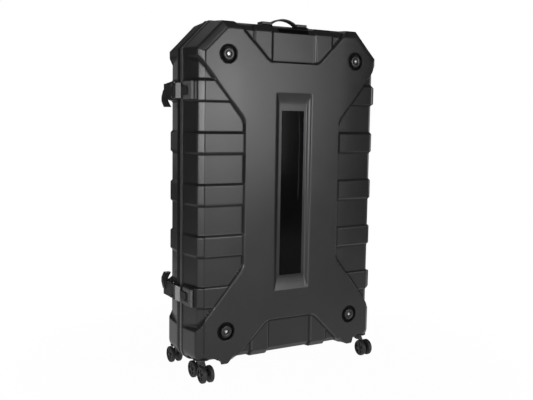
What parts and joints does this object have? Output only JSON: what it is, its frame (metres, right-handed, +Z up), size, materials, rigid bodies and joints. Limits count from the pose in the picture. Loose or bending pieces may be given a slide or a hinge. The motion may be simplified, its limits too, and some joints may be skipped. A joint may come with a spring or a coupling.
{
  "type": "bicycle travel case",
  "caption": "Upright hard-shell bicycle travel case: ribbed half shells hinged on one side, toggle latches, strap handle and swivel casters.",
  "frame": {"origin": "on the floor below the middle of the case", "axes": "+X to the right of the face, +Y from the face to the back, +Z up"},
  "size_m": [0.812, 0.328, 1.276],
  "materials": {
    "shell_plastic": "satin, fine moulded grain",
    "rim_plastic": "satin",
    "seal_rubber": "matte",
    "plate_gloss": "gloss",
    "strap_rubber": "matte",
    "trim_plastic": "satin",
    "latch_metal": "brushed",
    "hinge_metal": "satin black",
    "washer_metal": "satin black",
    "post_metal": "anodised",
    "wheel_plastic": "matte",
    "steel": "zinc plated"
  },
  "bodies": {
    "case": {"rear_shell": "shell_plastic", "rear_rim": "rim_plastic", "rim_seal": "seal_rubber", "latch_upper_base": "latch_metal", "latch_upper_pivot_pin": "steel", "hinge_upper_rear_leaf": "hinge_metal", "hinge_upper_pin": "steel", "post_upper_left": "post_metal", "post_upper_right": "post_metal", "latch_lower_base": "latch_metal", "latch_lower_pivot_pin": "steel", "hinge_lower_rear_leaf": "hinge_metal", "hinge_lower_pin": "steel", "post_lower_left": "post_metal", "post_lower_right": "post_metal", "rear_post_washers": "washer_metal", "rear_post_screws": "steel", "caster_rear_left_mount": "steel", "caster_rear_right_mount": "steel"},
    "lid": {"front_shell": "shell_plastic", "front_rim": "rim_plastic", "badge_plate": "plate_gloss", "top_plate": "plate_gloss", "handle_strap": "strap_rubber", "handle_anchor_left": "trim_plastic", "handle_anchor_right": "trim_plastic", "handle_screws": "steel", "latch_upper_keeper": "trim_plastic", "hinge_upper_front_leaf": "hinge_metal", "latch_lower_keeper": "trim_plastic", "hinge_lower_front_leaf": "hinge_metal", "front_post_washers": "washer_metal", "front_post_screws": "steel", "caster_front_left_mount": "steel", "caster_front_right_mount": "steel"},
    "upper_lever": {"latch_upper_lever": "trim_plastic"},
    "upper_hook": {"latch_upper_hook": "latch_metal", "latch_upper_tongue": "trim_plastic"},
    "lower_lever": {"latch_lower_lever": "trim_plastic"},
    "lower_hook": {"latch_lower_hook": "latch_metal", "latch_lower_tongue": "trim_plastic"},
    "front_left_swivel": {"caster_front_left_fork": "trim_plastic", "caster_front_left_axles": "steel"},
    "front_left_outer_wheel_left": {"caster_front_left_outer_wheel_left": "wheel_plastic"},
    "front_left_outer_wheel_right": {"caster_front_left_outer_wheel_right": "wheel_plastic"},
    "front_left_inner_wheel_left": {"caster_front_left_inner_wheel_left": "wheel_plastic"},
    "front_left_inner_wheel_right": {"caster_front_left_inner_wheel_right": "wheel_plastic"},
    "front_right_swivel": {"caster_front_right_fork": "trim_plastic", "caster_front_right_axles": "steel"},
    "front_right_outer_wheel_left": {"caster_front_right_outer_wheel_left": "wheel_plastic"},
    "front_right_outer_wheel_right": {"caster_front_right_outer_wheel_right": "wheel_plastic"},
    "rear_left_swivel": {"caster_rear_left_fork": "trim_plastic", "caster_rear_left_axles": "steel"},
    "rear_left_outer_wheel_left": {"caster_rear_left_outer_wheel_left": "wheel_plastic"},
    "rear_left_outer_wheel_right": {"caster_rear_left_outer_wheel_right": "wheel_plastic"},
    "rear_right_swivel": {"caster_rear_right_fork": "trim_plastic", "caster_rear_right_axles": "steel"},
    "rear_right_outer_wheel_left": {"caster_rear_right_outer_wheel_left": "wheel_plastic"},
    "rear_right_outer_wheel_right": {"caster_rear_right_outer_wheel_right": "wheel_plastic"}
  },
  "joints": [
    {"name": "lid_hinge", "type": "hinge", "parent": "case", "child": "lid", "pos_m": [0.399, 0, 0.653], "axis": [0, 0, 1], "range_deg": [0, 110]},
    {"name": "upper_lever_turn", "type": "hinge", "parent": "case", "child": "upper_lever", "pos_m": [-0.392, 0.03, 1.009], "axis": [0, 0, 1], "range_deg": [0, 80]},
    {"name": "upper_hook_turn", "type": "hinge", "parent": "upper_lever", "child": "upper_hook", "pos_m": [-0.396, 0.044, 1.009], "axis": [0, 0, 1], "range_deg": [-88, 0]},
    {"name": "lower_lever_turn", "type": "hinge", "parent": "case", "child": "lower_lever", "pos_m": [-0.392, 0.03, 0.297], "axis": [0, 0, 1], "range_deg": [0, 80]},
    {"name": "lower_hook_turn", "type": "hinge", "parent": "lower_lever", "child": "lower_hook", "pos_m": [-0.396, 0.044, 0.297], "axis": [0, 0, 1], "range_deg": [-88, 0]},
    {"name": "front_left_swivel_turn", "type": "hinge", "parent": "lid", "child": "front_left_swivel", "pos_m": [-0.343, -0.097, 0.07], "axis": [0, 0, 1], "continuous": true},
    {"name": "front_left_outer_wheel_left_roll", "type": "hinge", "parent": "front_left_swivel", "child": "front_left_outer_wheel_left", "pos_m": [-0.3575, -0.134, 0.03], "axis": [1, 0, 0], "continuous": true},
    {"name": "front_left_outer_wheel_right_roll", "type": "hinge", "parent": "front_left_swivel", "child": "front_left_outer_wheel_right", "pos_m": [-0.3285, -0.134, 0.03], "axis": [1, 0, 0], "continuous": true},
    {"name": "front_left_inner_wheel_left_roll", "type": "hinge", "parent": "front_left_swivel", "child": "front_left_inner_wheel_left", "pos_m": [-0.3575, -0.06, 0.03], "axis": [1, 0, 0], "continuous": true},
    {"name": "front_left_inner_wheel_right_roll", "type": "hinge", "parent": "front_left_swivel", "child": "front_left_inner_wheel_right", "pos_m": [-0.3285, -0.06, 0.03], "axis": [1, 0, 0], "continuous": true},
    {"name": "front_right_swivel_turn", "type": "hinge", "parent": "lid", "child": "front_right_swivel", "pos_m": [0.343, -0.097, 0.07], "axis": [0, 0, 1], "continuous": true},
    {"name": "front_right_outer_wheel_left_roll", "type": "hinge", "parent": "front_right_swivel", "child": "front_right_outer_wheel_left", "pos_m": [0.3285, -0.134, 0.03], "axis": [1, 0, 0], "continuous": true},
    {"name": "front_right_outer_wheel_right_roll", "type": "hinge", "parent": "front_right_swivel", "child": "front_right_outer_wheel_right", "pos_m": [0.3575, -0.134, 0.03], "axis": [1, 0, 0], "continuous": true},
    {"name": "rear_left_swivel_turn", "type": "hinge", "parent": "case", "child": "rear_left_swivel", "pos_m": [-0.343, 0.097, 0.07], "axis": [0, 0, 1], "continuous": true},
    {"name": "rear_left_outer_wheel_left_roll", "type": "hinge", "parent": "rear_left_swivel", "child": "rear_left_outer_wheel_left", "pos_m": [-0.3575, 0.134, 0.03], "axis": [1, 0, 0], "continuous": true},
    {"name": "rear_left_outer_wheel_right_roll", "type": "hinge", "parent": "rear_left_swivel", "child": "rear_left_outer_wheel_right", "pos_m": [-0.3285, 0.134, 0.03], "axis": [1, 0, 0], "continuous": true},
    {"name": "rear_right_swivel_turn", "type": "hinge", "parent": "case", "child": "rear_right_swivel", "pos_m": [0.343, 0.097, 0.07], "axis": [0, 0, 1], "continuous": true},
    {"name": "rear_right_outer_wheel_left_roll", "type": "hinge", "parent": "rear_right_swivel", "child": "rear_right_outer_wheel_left", "pos_m": [0.3285, 0.134, 0.03], "axis": [1, 0, 0], "continuous": true},
    {"name": "rear_right_outer_wheel_right_roll", "type": "hinge", "parent": "rear_right_swivel", "child": "rear_right_outer_wheel_right", "pos_m": [0.3575, 0.134, 0.03], "axis": [1, 0, 0], "continuous": true}
  ],
  "couplings": [
    {"joint": "upper_hook_turn", "follows": "upper_lever_turn", "ratio": -1.1},
    {"joint": "lower_hook_turn", "follows": "lower_lever_turn", "ratio": -1.1}
  ]
}
